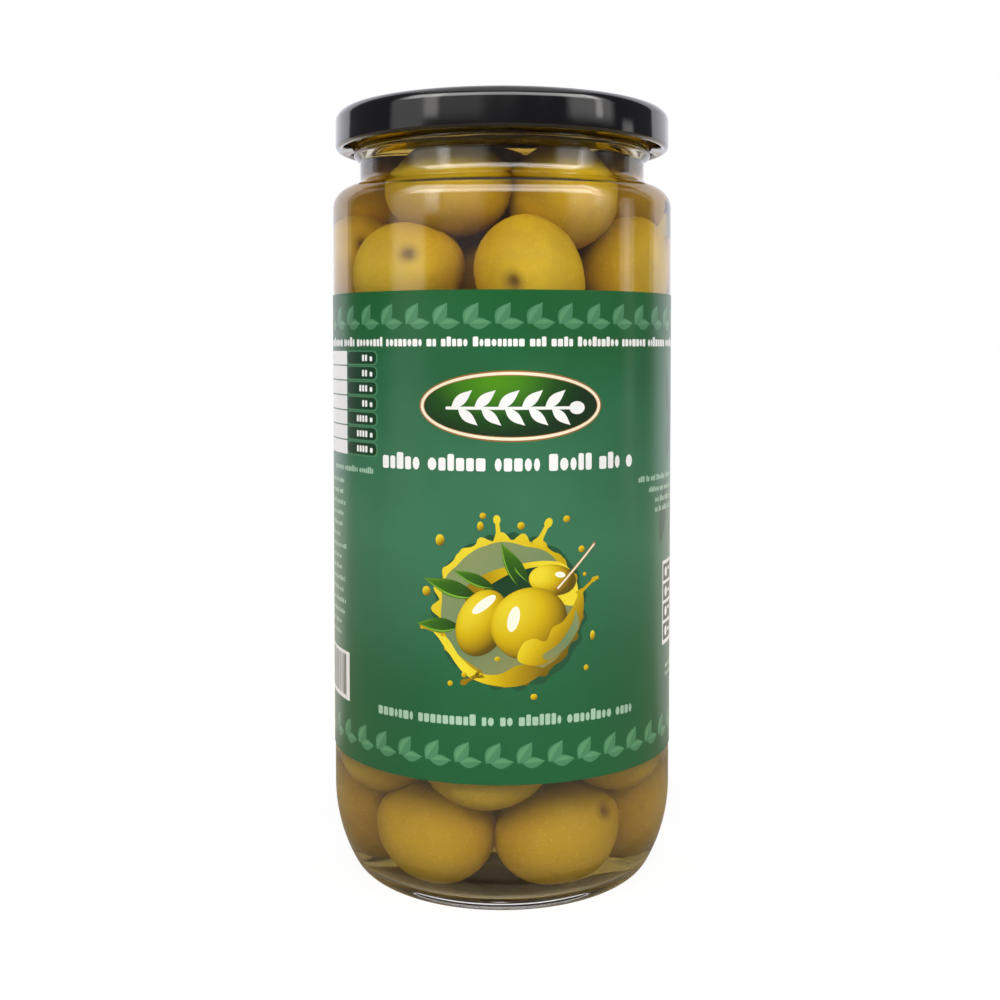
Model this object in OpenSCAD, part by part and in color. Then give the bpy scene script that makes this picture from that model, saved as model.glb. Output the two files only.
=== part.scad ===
// A tall glass jar of green olives in brine, shut by a black twist-off lid, with a paper label.
// The jar stands on z = 0 with its axis on Z, and the middle of its label faces -Y.

/* [Jar] */
// Outer diameter of the jar's body
body_d = 75; // [68:0.5:95]
// Height of the whole jar with its lid
total_h = 168; // [120:1:240]
// Thickness of the glass wall
wall = 2.4; // [1.6:0.1:3.2]
// Thickness of the glass over the foot ring
floor_t = 3.4; // [2:0.1:6]
// Rise of the hollow under the jar, at its middle
push_up = 2; // [0.5:0.1:4]
// Width of the flat ring that the jar stands on
foot_w = 3; // [1:0.5:5]

/* [Heel] */
// Radius of the long curve at the foot of the wall
heel_r = 34; // [20:1:60]
// Angle that the long curve turns through
heel_turn = 28.5; // [15:0.5:40]
// Radius of the short curve between the heel and the foot ring
foot_r = 6.5; // [3:0.5:10]
// Radius of the long curve inside the heel
inner_heel_r = 20; // [10:1:40]
// Angle that the inside's long curve turns through
inner_heel_turn = 35; // [15:1:50]
// Radius of the curve between the inside's heel and its floor
inner_foot_r = 9; // [4:0.5:12]

/* [Shoulder and neck] */
// Radius of the round shoulder
shoulder_r = 4.7; // [2:0.1:10]
// Radius of the hollow curve between shoulder and neck
hollow_r = 2.2; // [1:0.1:5]
// Steepness of the shoulder: the angle between its slope and the jar's wall
shoulder_turn = 76; // [45:1:85]
// Outer diameter of the neck at its narrowest
neck_d = 63; // [56:0.5:66]
// Height of the neck from the shoulder to the rim
neck_h = 13.8; // [12:0.2:20]
// Height of the neck's narrowest stretch
waist_h = 3.4; // [0.5:0.1:4]
// Outer diameter of the bead round the neck, below the lid
bead_d = 65.8; // [60:0.1:68]
// Height of the bead, measured below the rim
bead_drop = 8.8; // [8.5:0.1:12]
// Radius of the bead's round edge
bead_r = 0.9; // [0.4:0.1:1.4]
// Outer diameter of the finish, which the lid screws on
finish_d = 65.2; // [58:0.1:67]
// Radius of the rim's round edges
rim_r = 0.8; // [0.3:0.1:1.2]

/* [Threads] */
// Number of short threads on the finish, and of lugs in the lid
lugs = 4; // [3:1:6]
// Angle that each thread runs round the finish
thread_turn = 58; // [20:1:60]
// Slant of each thread
thread_slant = 1.2; // [0:0.1:2]
// How far a thread stands out from the finish
thread_out = 1.3; // [0.5:0.1:1.4]
// Radius of a thread's rounding
thread_r = 0.9; // [0.5:0.1:1.2]
// Height of the threads, measured below the rim
thread_drop = 4.2; // [3.4:0.1:5]

/* [Lid] */
// Outer diameter of the lid
lid_d = 73.8; // [72:0.1:78]
// Height of the lid
lid_h = 8.4; // [8:0.1:11]
// Thickness of the lid's sheet
lid_t = 0.6; // [0.4:0.05:1]
// Radius of the lid's top edge
lid_edge_r = 1.7; // [0.8:0.1:2.5]
// Radius of the curl along the lid's lower edge
curl_r = 0.85; // [0.6:0.05:1.2]
// Depth of the lid's sunk middle
panel_drop = 0.8; // [0.3:0.1:1.2]
// Gap between the sunk middle and the mouth's wall
panel_gap = 0.5; // [0.2:0.1:1]
// Diameter of the safety button in the lid's middle
button_d = 23; // [10:1:40]
// Depth of the button below the sunk middle
button_drop = 0.4; // [0.2:0.1:0.8]
// Width of the slope round the sunk middle, and round the button
step_w = 1.2; // [0.6:0.1:2]
// Angle that each lug takes up
lug_turn = 20; // [8:1:30]
// Gap between a lug and the finish
lug_gap = 0.6; // [0.3:0.1:1.2]

/* [Label] */
// Height of the label's lower edge
label_z = 29; // [22:0.5:60]
// Distance from the label's upper edge to the foot of the shoulder
label_gap = 19; // [2:0.5:40]
// Thickness of the paper
label_t = 0.15; // [0.1:0.05:0.4]
// Width of the strip of bare glass between the label's ends
label_seam = 12; // [4:0.5:60]

/* [Contents] */
// Depth of the brine's surface below the rim
headspace = 7; // [4:0.5:9]
// Length of an olive
olive_l = 24; // [18:0.5:30]
// Width of an olive
olive_d = 20.6; // [15:0.2:26]
// Gap between the olives and the glass
olive_gap = 0.4; // [0.2:0.1:2]
// Extra gap round the lowest olives, where the heel curves in
heel_gap = 1.4; // [0:0.1:3]
// Depth of the topmost olives below the brine's surface
olive_cover = 2; // [0.5:0.5:6]
// Height between one ring of olives and the next
ring_rise = 16.4; // [14:0.2:22]
// Greatest lean of an olive out of the level
olive_lean = 24; // [0:1:45]
// Seed that the unevenness of the heap is drawn from
heap_seed = 11; // [1:1:99]

/* [Hidden] */
$fn = 64;

// Radii, and heights worked out from the top down
body_r = body_d / 2;
neck_r = neck_d / 2;
finish_r = finish_d / 2;
mouth_r = neck_r - wall;
inner_r = body_r - wall;
lid_r = lid_d / 2;
rim_z = total_h - lid_t;
waist_z = rim_z - neck_h;
bead_z = rim_z - bead_drop;
thread_z = rim_z - thread_drop;
brine_z = rim_z - headspace;
lid_z = total_h - lid_h;

// The shoulder's two curves shrink together where the neck is too wide for them
shoulder_in = body_r - neck_r;
curves_in = (shoulder_r + hollow_r) * (1 - cos(shoulder_turn));
shrink = min(1, 0.98 * shoulder_in / curves_in);
round_r = shoulder_r * shrink;
hollow = hollow_r * shrink;
slope_l = (shoulder_in - curves_in * shrink) / sin(shoulder_turn);
slope_in = slope_l * sin(shoulder_turn);
slope_up = slope_l * cos(shoulder_turn);
shoulder_up = (round_r + hollow) * sin(shoulder_turn) + slope_up;
shoulder_z = waist_z - shoulder_up;

// The heel, outside and inside
function heel_up(long_r, short_r, turn) = long_r * sin(turn) + short_r * (1 - sin(turn));
function heel_in(long_r, short_r, turn) = long_r * (1 - cos(turn)) + short_r * cos(turn);
foot_out = body_r - heel_in(heel_r, foot_r, heel_turn);
foot_in = foot_out - foot_w;
floor_r = inner_r - heel_in(inner_heel_r, inner_foot_r, inner_heel_turn);

label_top = shoulder_z - label_gap;

// Points along an arc round (x, y), from angle a to angle b
function arc(x, y, r, a, b, steps = 6) =
    [for (i = [0:steps]) let (t = a + (b - a) * i / steps) [x + r * cos(t), y + r * sin(t)]];

// A heel from its foot up to the wall: a short curve, then a long one
function heel(wall_r, bottom_z, long_r, short_r, turn) =
    let (
        top_z = bottom_z + heel_up(long_r, short_r, turn),
        short_x = wall_r - heel_in(long_r, short_r, turn)
    )
    concat(
        arc(short_x, bottom_z + short_r, short_r, -90, -turn, 6),
        arc(wall_r - long_r, top_z, long_r, -turn, 0, 7)
    );

// A shallow dome from the axis out to radius r, which drops from top_z to edge_z
function dome(r, top_z, edge_z, steps = 5) =
    [for (i = [0:steps]) [r * i / steps, top_z - (top_z - edge_z) * pow(i / steps, 2)]];

function reversed(points) = [for (i = [len(points) - 1:-1:0]) points[i]];

// The shoulder and the neck's hollow from the wall up, for a skin that lies depth inside the glass
function shoulder(depth) =
    let (skin_r = max(round_r - depth, 0.4))
    concat(
        arc(body_r - depth - skin_r, shoulder_z, skin_r, 0, shoulder_turn, 7),
        arc(neck_r + hollow, waist_z, hollow + depth, 180 + shoulder_turn, 180, 7)
    );

// The outside of the glass from the middle of its underside up to the rim
function glass_outside() = concat(
    dome(foot_in, push_up, 0),
    heel(body_r, 0, heel_r, foot_r, heel_turn),
    shoulder(0),
    [[neck_r, waist_z + waist_h]],
    arc(bead_d / 2 - bead_r, bead_z, bead_r, -50, 50, 5),
    [[finish_r, bead_z + bead_r + 0.3]],
    arc(finish_r - rim_r, rim_z - rim_r, rim_r, 0, 90, 4)
);

// The inside of the glass from the middle of its floor up to the given height in the neck
function glass_inside(top_z) = concat(
    dome(floor_r - 1, floor_t + push_up, floor_t),
    heel(inner_r, floor_t, inner_heel_r, inner_foot_r, inner_heel_turn),
    shoulder(wall),
    [[mouth_r, top_z]]
);

// One thread: a round-edged rib, level along its length and slanted as a whole
module thread(i) {
    translate([0, 0, thread_z])
        rotate([0, 0, i * 360 / lugs])
            rotate([thread_slant, 0, 0])
                rotate([0, 0, -thread_turn / 2])
                    rotate_extrude(angle = thread_turn)
                        translate([finish_r + thread_out - thread_r, 0])
                            union() {
                                circle(thread_r);
                                translate([-thread_out, -thread_r])
                                    square([thread_out, 2 * thread_r]);
                            }
}

module glass_jar() {
    rim_in = arc(mouth_r + rim_r, rim_z - rim_r, rim_r, 90, 180, 4);
    color([0.86, 0.88, 0.9, 0.35])
        union() {
            rotate_extrude()
                polygon(concat(glass_outside(), rim_in, reversed(glass_inside(waist_z + waist_h))));
            for (i = [0:lugs - 1]) thread(i);
        }
}

module lid() {
    panel_r = mouth_r - panel_gap;
    panel_z = total_h - panel_drop;
    button_r = button_d / 2;
    button_z = panel_z - button_drop;
    curl_x = lid_r - curl_r;
    curl_z = lid_z + curl_r;
    edge_x = lid_r - lid_edge_r;
    edge_z = total_h - lid_edge_r;
    // The sunk middle from the axis out, as the height of its upper face
    middle = [
        [0, button_z], [button_r, button_z], [button_r + step_w, panel_z],
        [panel_r - step_w, panel_z], [panel_r, total_h]
    ];
    outside = concat(
        middle,
        arc(edge_x, edge_z, lid_edge_r, 90, 0, 6),
        arc(curl_x, curl_z, curl_r, 0, -270, 12)
    );
    inside = concat(
        [[lid_r - lid_t, curl_z + curl_r]],
        arc(edge_x, edge_z, lid_edge_r - lid_t, 0, 90, 5),
        [for (p = reversed(middle)) [p.x, p.y - lid_t]]
    );
    lug_in = finish_r + lug_gap;
    lug_t = curl_r * 1.3;
    color([0.05, 0.05, 0.06])
        union() {
            rotate_extrude() polygon(concat(outside, inside));
            for (i = [0:lugs - 1])
                rotate([0, 0, i * 360 / lugs - lug_turn / 2])
                    rotate_extrude(angle = lug_turn)
                        translate([lug_in, curl_z - lug_t / 2])
                            square([curl_x - lug_in, lug_t]);
        }
}

module label() {
    half_seam = label_seam / 2 / body_r * 180 / PI;
    color([0.14, 0.39, 0.24])
        rotate([0, 0, 90 + half_seam])
            rotate_extrude(angle = 360 - 2 * half_seam)
                translate([body_r, label_z])
                    square([label_t, label_top - label_z]);
}

// The heap: rings of olives against the glass, each turned half a step from the one below, with
// a smaller ring under the neck. Every olive has its own place, lean and size.
function ring_fits(r) = floor(180 / asin(olive_l / 2 / r));
wall_ring_r = inner_r - olive_gap - olive_d / 2;
neck_ring_r = mouth_r - olive_gap - olive_d / 2;
heap_low = floor_t + 3 * olive_gap + olive_d / 2;
heap_high = brine_z - olive_cover - olive_d / 2;
rings = 1 + floor((heap_high - heap_low) / ring_rise);
rise = (heap_high - heap_low) / (rings - 1);
per_ring = ring_fits(wall_ring_r);
draws = rands(-1, 1, rings * per_ring * 5, heap_seed);

// The radius that ring's centres lie at
function ring_r(ring) =
    ring == 0 ? wall_ring_r - heel_gap :
    ring == rings - 1 ? neck_ring_r : wall_ring_r;

// One olive: its centre, the direction of its length, half its length and half its width
function olive(ring, k) =
    let (
        draw = 5 * (ring * per_ring + k),
        r = ring_r(ring) - 0.5 + 0.5 * draws[draw],
        turn = (k + ring / 2 + 0.12 * draws[draw + 1]) * 360 / ring_fits(ring_r(ring)),
        inner = ring > 0 && ring < rings - 1,
        up = inner ? 2.2 * draws[draw + 2] : 0,
        lean = olive_lean * draws[draw + 3] * (inner ? 1 : 0.2),
        size = 0.97 + 0.03 * draws[draw + 4]
    )
    [
        [r * cos(turn), r * sin(turn), heap_low + ring * rise + up],
        [-sin(turn) * cos(lean), cos(turn) * cos(lean), sin(lean)],
        size * olive_l / 2,
        size * olive_d / 2
    ];
heap = [for (ring = [0:rings - 1], k = [0:ring_fits(ring_r(ring)) - 1]) olive(ring, k)];

// A vector in the space where olive o is a ball of radius 1
function squeeze(v, o) = v / o[3] + o[1] * (v * o[1]) * (1 / o[2] - 1 / o[3]);

// Distance along a ray from p in direction d to the far side of olive o, or 0 if it misses
function far_side(p, d, o) =
    let (
        q = squeeze(p - o[0], o),
        e = squeeze(d, o),
        half = q * e / (e * e),
        rest = half * half - (q * q - 1) / (e * e)
    )
    rest < 0 ? 0 : -half + sqrt(rest);

// How far the olives reach from the axis point p in direction d
function reach(p, d) =
    max([for (o = heap) if (abs(o[0].z - p.z) < olive_l * 1.2) far_side(p, d, o)]);

// The heap's skin is a net of points, each on the olive that reaches furthest out, or on the
// core between the olives. Rays leave the axis level, and fan out at the heap's two ends.
columns = 44;
side_rows = round((rings - 1) * rise / 4.6);
end_rows = 4;
core_r = wall_ring_r - olive_d * 0.32;
end_core = olive_d / 2 - 0.8;

function ray_row(p, tilt) = [
    for (c = [0:columns - 1])
        let (
            a = c * 360 / columns,
            d = [cos(tilt) * cos(a), cos(tilt) * sin(a), sin(tilt)],
            core = min(core_r / max(cos(tilt), 0.001), end_core / max(abs(sin(tilt)), 0.001))
        )
        p + d * max(core, reach(p, d))
];

module olives() {
    low = [0, 0, heap_low];
    high = [0, 0, heap_high];
    fan = [for (i = [1:end_rows]) 90 * i / (end_rows + 1)];
    rows = concat(
        [for (tilt = fan) ray_row(low, tilt - 90)],
        [for (i = [0:side_rows]) ray_row(low + (high - low) * i / side_rows, 0)],
        [for (tilt = fan) ray_row(high, tilt)]
    );
    bottom = low - [0, 0, end_core];
    top = high + [0, 0, end_core];
    n = len(rows);
    points = concat([for (row = rows) each row], [bottom, top]);
    function at(row, c) = row * columns + c % columns;
    sides = [
        for (row = [0:n - 2], c = [0:columns - 1])
            each [
                [at(row, c), at(row + 1, c), at(row + 1, c + 1)],
                [at(row, c), at(row + 1, c + 1), at(row, c + 1)]
            ]
    ];
    ends = [
        for (c = [0:columns - 1])
            each [
                [n * columns, at(0, c), at(0, c + 1)],
                [n * columns + 1, at(n - 1, c + 1), at(n - 1, c)]
            ]
    ];
    color([0.66, 0.57, 0.2])
        polyhedron(points = points, faces = concat(sides, ends));
}

module brine() {
    color([0.42, 0.36, 0.14, 0.6])
        difference() {
            rotate_extrude()
                polygon(concat(glass_inside(brine_z), [[0, brine_z]]));
            olives();
        }
}

glass_jar();
lid();
label();
olives();
brine();
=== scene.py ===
# %% [markdown]
# # A jar of green olives
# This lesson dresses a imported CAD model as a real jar: clear glass full of brine, whole olives pressed
# against the wall, a gloss black twist-off lid and a printed paper label. The CAD model is the frame.
# It says how large everything is and where it stands, and every piece made here is fitted to it.

# %% Load the frame
import math
import random

import bmesh
import bpy
from mathutils import Matrix, Vector, noise


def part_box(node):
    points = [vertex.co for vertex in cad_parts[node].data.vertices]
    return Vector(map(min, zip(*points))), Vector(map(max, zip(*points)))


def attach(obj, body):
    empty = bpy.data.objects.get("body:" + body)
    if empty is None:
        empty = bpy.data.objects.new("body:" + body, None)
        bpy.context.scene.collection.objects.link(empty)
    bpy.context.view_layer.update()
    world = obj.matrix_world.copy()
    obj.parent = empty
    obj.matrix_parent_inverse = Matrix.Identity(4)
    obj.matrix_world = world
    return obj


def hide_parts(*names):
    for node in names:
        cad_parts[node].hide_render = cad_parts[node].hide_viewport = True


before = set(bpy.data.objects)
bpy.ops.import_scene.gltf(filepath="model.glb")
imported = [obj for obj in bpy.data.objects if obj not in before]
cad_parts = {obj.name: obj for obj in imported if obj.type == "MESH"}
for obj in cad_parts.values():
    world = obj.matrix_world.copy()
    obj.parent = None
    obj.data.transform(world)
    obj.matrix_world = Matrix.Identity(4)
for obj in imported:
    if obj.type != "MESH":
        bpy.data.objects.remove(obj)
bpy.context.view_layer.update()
print("nodes in the frame:", sorted(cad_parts))

# %% [markdown]
# Sizes that the frame knows are read from it, in millimetres, so a change there carries over to here.
# The neck, the heel and the lid's edge are curves inside those boxes, and their radii are named below,
# each beside the piece that uses it.

# %% Sizes from the frame
MM = 0.001


def extent(node):
    """The lowest and highest corner of a CAD node, in millimetres."""
    low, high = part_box(node)
    return [c / MM for c in low], [c / MM for c in high]


jar_high = extent("glass_jar")[1]
lid_low, lid_high = extent("lid")
label_low, label_high = extent("label")
brine_low, brine_high = extent("brine")

BODY_R = jar_high[0]
RIM_Z = jar_high[2]
LID_R = lid_high[0]
LID_Z = lid_low[2]
LID_TOP = lid_high[2]
PAPER_R = -label_low[1]
PAPER_Z = label_low[2]
PAPER_TOP = label_high[2]
INSIDE_R = brine_high[0]
FLOOR_Z = brine_low[2]
BRINE_Z = brine_high[2]
print(f"body {2 * BODY_R:.1f} mm across, rim at {RIM_Z:.1f} mm, lid {LID_Z:.1f} to {LID_TOP:.1f} mm")

# %% [markdown]
# The camera comes first, because it decides how much detail each side needs. It stands close to the
# jar, above its middle, and looks slightly down. Its frame is then shifted down instead of tilted
# further, which keeps the jar's sides nearly parallel, as a studio lens does.

# %% Camera
CAMERA_AWAY = 305 * MM
CAMERA_HEIGHT = 116.3 * MM
CAMERA_TILT = math.radians(2.4)
FOCAL_LENGTH = 48.85
FRAME_SHIFT = (-0.002, -0.0957)

lens = bpy.data.cameras.new("camera")
lens.lens = FOCAL_LENGTH
lens.shift_x, lens.shift_y = FRAME_SHIFT
lens.clip_start = 0.01
camera = bpy.data.objects.new("camera", lens)
camera.location = (0, -CAMERA_AWAY, CAMERA_HEIGHT)
camera.rotation_euler = (math.pi / 2 - CAMERA_TILT, 0, 0)
bpy.context.collection.objects.link(camera)
bpy.context.scene.camera = camera
bpy.context.scene.view_settings.view_transform = "Standard"
print(f"camera {CAMERA_AWAY:.3f} m away, {FOCAL_LENGTH} mm lens")

# %% [markdown]
# Most of this object is round, so most of it is made the way a potter or a lathe would: an outline of
# half the section is drawn from arcs and straight runs, then spun about the axis. Long straight runs
# are cut into shorter ones first. Smooth shading blends normals across a whole face, so short faces
# keep the blend close to the curve that it belongs to.

# %% Helpers for outlines and spinning


def arc(x, z, radius, start, end, steps):
    """Points of an arc round (x, z), in degrees from start to end."""
    turns = [math.radians(start + (end - start) * i / steps) for i in range(steps + 1)]
    return [(x + radius * math.cos(t), z + radius * math.sin(t)) for t in turns]


def spun(outline, steps, longest=5.0):
    """A bmesh made by spinning an outline of (radius, height) points, in mm, about Z."""
    bm = bmesh.new()
    verts = [bm.verts.new((x * MM, 0, z * MM)) for x, z in outline]
    edges = [bm.edges.new(pair) for pair in zip(verts, verts[1:])]
    for edge in edges:
        cuts = int(edge.calc_length() / (longest * MM))
        if cuts:
            bmesh.ops.subdivide_edges(bm, edges=[edge], cuts=cuts)
    bmesh.ops.spin(bm, geom=bm.verts[:] + bm.edges[:], axis=(0, 0, 1), cent=(0, 0, 0),
                   steps=steps, angle=math.tau, use_merge=True)
    bmesh.ops.remove_doubles(bm, verts=bm.verts[:], dist=0.002 * MM)
    bmesh.ops.recalc_face_normals(bm, faces=bm.faces[:])
    return bm


SHARP = math.radians(42)


def mesh_of(name, bm):
    """A mesh that holds what a bmesh held."""
    mesh = bpy.data.meshes.new(name)
    bm.to_mesh(mesh)
    bm.free()
    return mesh


def piece(name, bm, replaced=None):
    """Turns a bmesh into an object that rides on the jar and takes its finish from a slot."""
    mesh = mesh_of(name, bm)
    mesh.polygons.foreach_set("use_smooth", [True] * len(mesh.polygons))
    mesh.set_sharp_from_angle(angle=SHARP)
    made = bpy.data.objects.new(name, mesh)
    bpy.context.collection.objects.link(made)
    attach(made, "root")
    if replaced:
        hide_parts(replaced)
    print(f"{name}: {len(mesh.polygons)} faces")
    return made


# %% [markdown]
# ## The glass
# A jar's wall is not a plain tube. It swells into a rounded shoulder, draws in to a narrow waist,
# then flares to a bead that stops the lid. At the foot a long soft heel curls under to a narrow ring,
# and the floor is thick and domed. These curves are what bend the light, so both skins are drawn.

# %% Outline of the glass
WALL = BODY_R - INSIDE_R
AROUND = 192
HEEL = {"long": 34.0, "turn": 28.5, "short": 6.5}
INNER_HEEL = {"long": 20.0, "turn": 35.0, "short": 9.0}
FOOT_WIDTH = 3.0
PUSH_UP = 2.0
SHOULDER_R, HOLLOW_R, SHOULDER_TURN = 4.7, 2.2, 76.0
WAIST_R, WAIST_DROP, WAIST_HEIGHT = 31.5, 13.8, 3.4
BEAD_R, BEAD_DROP, BEAD_ROUND = 32.9, 8.8, 0.9
FINISH_R, RIM_ROUND = 32.6, 0.8
MOUTH_R = WAIST_R - WALL
WAIST_Z = RIM_Z - WAIST_DROP
BEAD_Z = RIM_Z - BEAD_DROP


def heel(wall_r, bottom, curve):
    """A heel from its foot up to the wall: a short curve, then a long one."""
    turn = math.radians(curve["turn"])
    drop = curve["long"] * math.sin(turn) + curve["short"] * (1 - math.sin(turn))
    inward = curve["long"] * (1 - math.cos(turn)) + curve["short"] * math.cos(turn)
    foot = arc(wall_r - inward, bottom + curve["short"], curve["short"], -90, -curve["turn"], 12)
    side = arc(wall_r - curve["long"], bottom + drop, curve["long"], -curve["turn"], 0, 14)
    return foot + side[1:]


def shoulder(depth):
    """The shoulder and the hollow under the neck, for a skin that lies depth inside the glass."""
    turn = math.radians(SHOULDER_TURN)
    curves = (SHOULDER_R + HOLLOW_R) * (1 - math.cos(turn))
    slope = (BODY_R - WAIST_R - curves) / math.tan(turn)
    foot_z = WAIST_Z - (SHOULDER_R + HOLLOW_R) * math.sin(turn) - slope
    rounded = arc(BODY_R - SHOULDER_R, foot_z, SHOULDER_R - depth, 0, SHOULDER_TURN, 14)
    hollow = arc(WAIST_R + HOLLOW_R, WAIST_Z, HOLLOW_R + depth, 180 + SHOULDER_TURN, 180, 12)
    return rounded + hollow


def dome(edge_r, middle_z, edge_z, steps=8):
    """A shallow dome from the axis out to its edge."""
    shares = [i / steps for i in range(steps + 1)]
    return [(edge_r * s, middle_z - (middle_z - edge_z) * s * s) for s in shares]


def inner_skin(depth, top_z):
    """The inside of the wall, depth deeper in the glass, from the floor's middle up to top_z."""
    rise = heel(INSIDE_R + depth, FLOOR_Z - depth, INNER_HEEL)
    floor = dome(rise[0][0] - 1, FLOOR_Z + PUSH_UP - depth, FLOOR_Z - depth)
    return floor + rise + shoulder(WALL - depth) + [(MOUTH_R + depth, top_z)]


outer_heel = heel(BODY_R, 0, HEEL)
under = dome(outer_heel[0][0] - FOOT_WIDTH, PUSH_UP, 0)
bead = arc(BEAD_R - BEAD_ROUND, BEAD_Z, BEAD_ROUND, -50, 50, 8)
finish_rows = [(FINISH_R, BEAD_Z + 1.2 + 0.4 * i) for i in range(17)]
rim = arc(FINISH_R - RIM_ROUND, RIM_Z - RIM_ROUND, RIM_ROUND, 0, 90, 6)
rim += arc(MOUTH_R + RIM_ROUND, RIM_Z - RIM_ROUND, RIM_ROUND, 90, 180, 6)
outside = under + outer_heel + shoulder(0) + [(WAIST_R, WAIST_Z + WAIST_HEIGHT)] + bead
glass_outline = outside + finish_rows + rim + inner_skin(0, WAIST_Z + WAIST_HEIGHT)[::-1]
print(f"glass outline of {len(glass_outline)} points, wall {WALL:.1f} mm")

# %% [markdown]
# The lid grips four short slanted threads on the finish. They are raised after the spin, by pushing
# the finish's vertices outwards where a thread runs. A thread swells and fades over its length, so
# the push is the product of two smooth bumps: one across the thread and one along it.

# %% The jar
LUGS = 4
THREAD_TURN, THREAD_SLANT = 58.0, 1.2
THREAD_OUT, THREAD_HALF, THREAD_DROP = 1.3, 1.1, 4.2


def polar(v):
    """A vertex's distance from the axis, its turn about it in degrees and its height, in mm."""
    return math.hypot(v.co.x, v.co.y) / MM, math.degrees(math.atan2(v.co.y, v.co.x)), v.co.z / MM


def bump(distance, half, soft=1.0):
    """1 in the middle, 0 from half on, with a smooth flank of the given softness."""
    t = min(1.0, max(0.0, (half - abs(distance)) / (half * soft)))
    return t * t * (3 - 2 * t)


def nearest_lug(turn):
    """The angle from the nearest of the evenly spaced lugs, in degrees."""
    step = 360 / LUGS
    return (turn + step / 2) % step - step / 2


jar_bm = spun(glass_outline, AROUND)
for v in jar_bm.verts:
    r, turn, z = polar(v)
    if r > FINISH_R - 0.05 and BEAD_Z + 1.1 < z < RIM_Z - RIM_ROUND:
        along = nearest_lug(turn)
        middle = RIM_Z - THREAD_DROP + along / THREAD_TURN * THREAD_SLANT
        out = THREAD_OUT * bump(z - middle, THREAD_HALF) * bump(along, THREAD_TURN / 2, 0.3)
        v.co.xy *= (r + out) / r
jar = piece("jar_shell", jar_bm, "glass_jar")

# %% [markdown]
# ## The lid
# A twist-off lid is pressed from one thin sheet. Its middle is sunk, with a safety button that the
# vacuum holds down, the rim above the skirt is rounded, and the skirt's raw edge is rolled inwards
# into a curl. At four places the curl is pinched in to make the lugs.

# %% The lid
SHEET = 0.6
LID_EDGE, CURL = 2.4, 0.85
PANEL_R, PANEL_DROP = MOUTH_R - 0.5, 0.8
BUTTON_R, BUTTON_DROP = 11.5, 0.4
STEP = 1.2
LUG_TURN, LUG_GAP = 20.0, 0.6


def eased(start, end, steps=6):
    """An S-shaped slope between two outline points."""
    shares = [i / steps for i in range(steps + 1)]
    return [(start[0] + (end[0] - start[0]) * s,
             start[1] + (end[1] - start[1]) * s * s * (3 - 2 * s)) for s in shares]


panel_z = LID_TOP - PANEL_DROP
button_z = panel_z - BUTTON_DROP
middle = [(0, button_z), (BUTTON_R - 2, button_z)]
middle += eased((BUTTON_R, button_z), (BUTTON_R + STEP, panel_z))
middle += [(PANEL_R - STEP - 6, panel_z)]
middle += eased((PANEL_R - STEP, panel_z), (PANEL_R, LID_TOP))
curl_x = LID_R - CURL
lid_outline = middle + arc(LID_R - LID_EDGE, LID_TOP - LID_EDGE, LID_EDGE, 90, 0, 12)
lid_outline += arc(curl_x, LID_Z + CURL, CURL, 0, -270, 20)
lid_outline += [(LID_R - SHEET, LID_Z + 2 * CURL)]
lid_outline += arc(LID_R - LID_EDGE, LID_TOP - LID_EDGE, LID_EDGE - SHEET, 0, 90, 8)
lid_outline += [(x, z - SHEET) for x, z in middle[::-1]]

lid_bm = spun(lid_outline, AROUND, longest=3.0)
for v in lid_bm.verts:
    r, turn, z = polar(v)
    if z < LID_Z + 2 * CURL and r < curl_x:
        along = nearest_lug(turn)
        pinch = bump(along, LUG_TURN / 2, 0.35) * bump(z - LID_Z - CURL, CURL, 0.8)
        v.co.xy *= (r + (FINISH_R + LUG_GAP - LID_R + 2 * CURL) * pinch) / r
lid = piece("lid_cap", lid_bm, "lid")

# %% [markdown]
# ## The brine
# Liquid touches the glass, and a gap of air between them would shine like a mirror. So the brine is
# spun from the same inner skin, moved a hair into the wall, and it climbs a little at its edge.

# %% The brine
SINK = 0.12
MENISCUS, CLIMB = 1.2, 4.0

surface = [(0, BRINE_Z), (MOUTH_R - CLIMB, BRINE_Z)]
surface += [(MOUTH_R + SINK - CLIMB * (1 - s), BRINE_Z + MENISCUS * s ** 4)
            for s in (0.3, 0.6, 0.8, 0.92, 1)]
brine_outline = inner_skin(SINK, WAIST_Z + WAIST_HEIGHT) + surface[::-1]
brine = piece("brine_fill", spun(brine_outline, AROUND), "brine")

# %% [markdown]
# ## The olives
# An olive is a plump oval with a small pit where its stalk sat. The pit isn't always at the very end, so
# a round olive with a pit is spun first, and each copy is stretched along a line of its own. Each copy
# is also dented its own way, and it carries two numbers per vertex for the material: a tone that is
# partly random and partly set by its height in the jar, and how close the vertex lies to the stalk's
# scar.

# %% One olive's outline
OLIVE_D = 20.6
OLIVE_STRETCH = 1.18
SCAR_R, SCAR_DEEP = 1.5, 0.7


def olive_outline(rows=20):
    """A round olive's half section, with its stalk end up."""
    points = []
    for i in range(rows + 1):
        t = math.pi * i / rows
        x = OLIVE_D / 2 * math.sin(t) if 0 < i < rows else 0.0
        z = OLIVE_D / 2 * math.cos(t)
        z -= SCAR_DEEP * math.exp(-(x / SCAR_R) ** 2) * (1 if z > 0 else 0)
        points.append((x, z))
    pit = [(SCAR_R * s, OLIVE_D / 2 - SCAR_DEEP * math.exp(-s * s)) for s in (0.3, 0.6, 0.9)]
    return points[:1] + pit + points[1:]


olive_mesh = mesh_of("one_olive", spun(olive_outline(), 32))
print(f"one olive: {len(olive_mesh.polygons)} faces")
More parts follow.
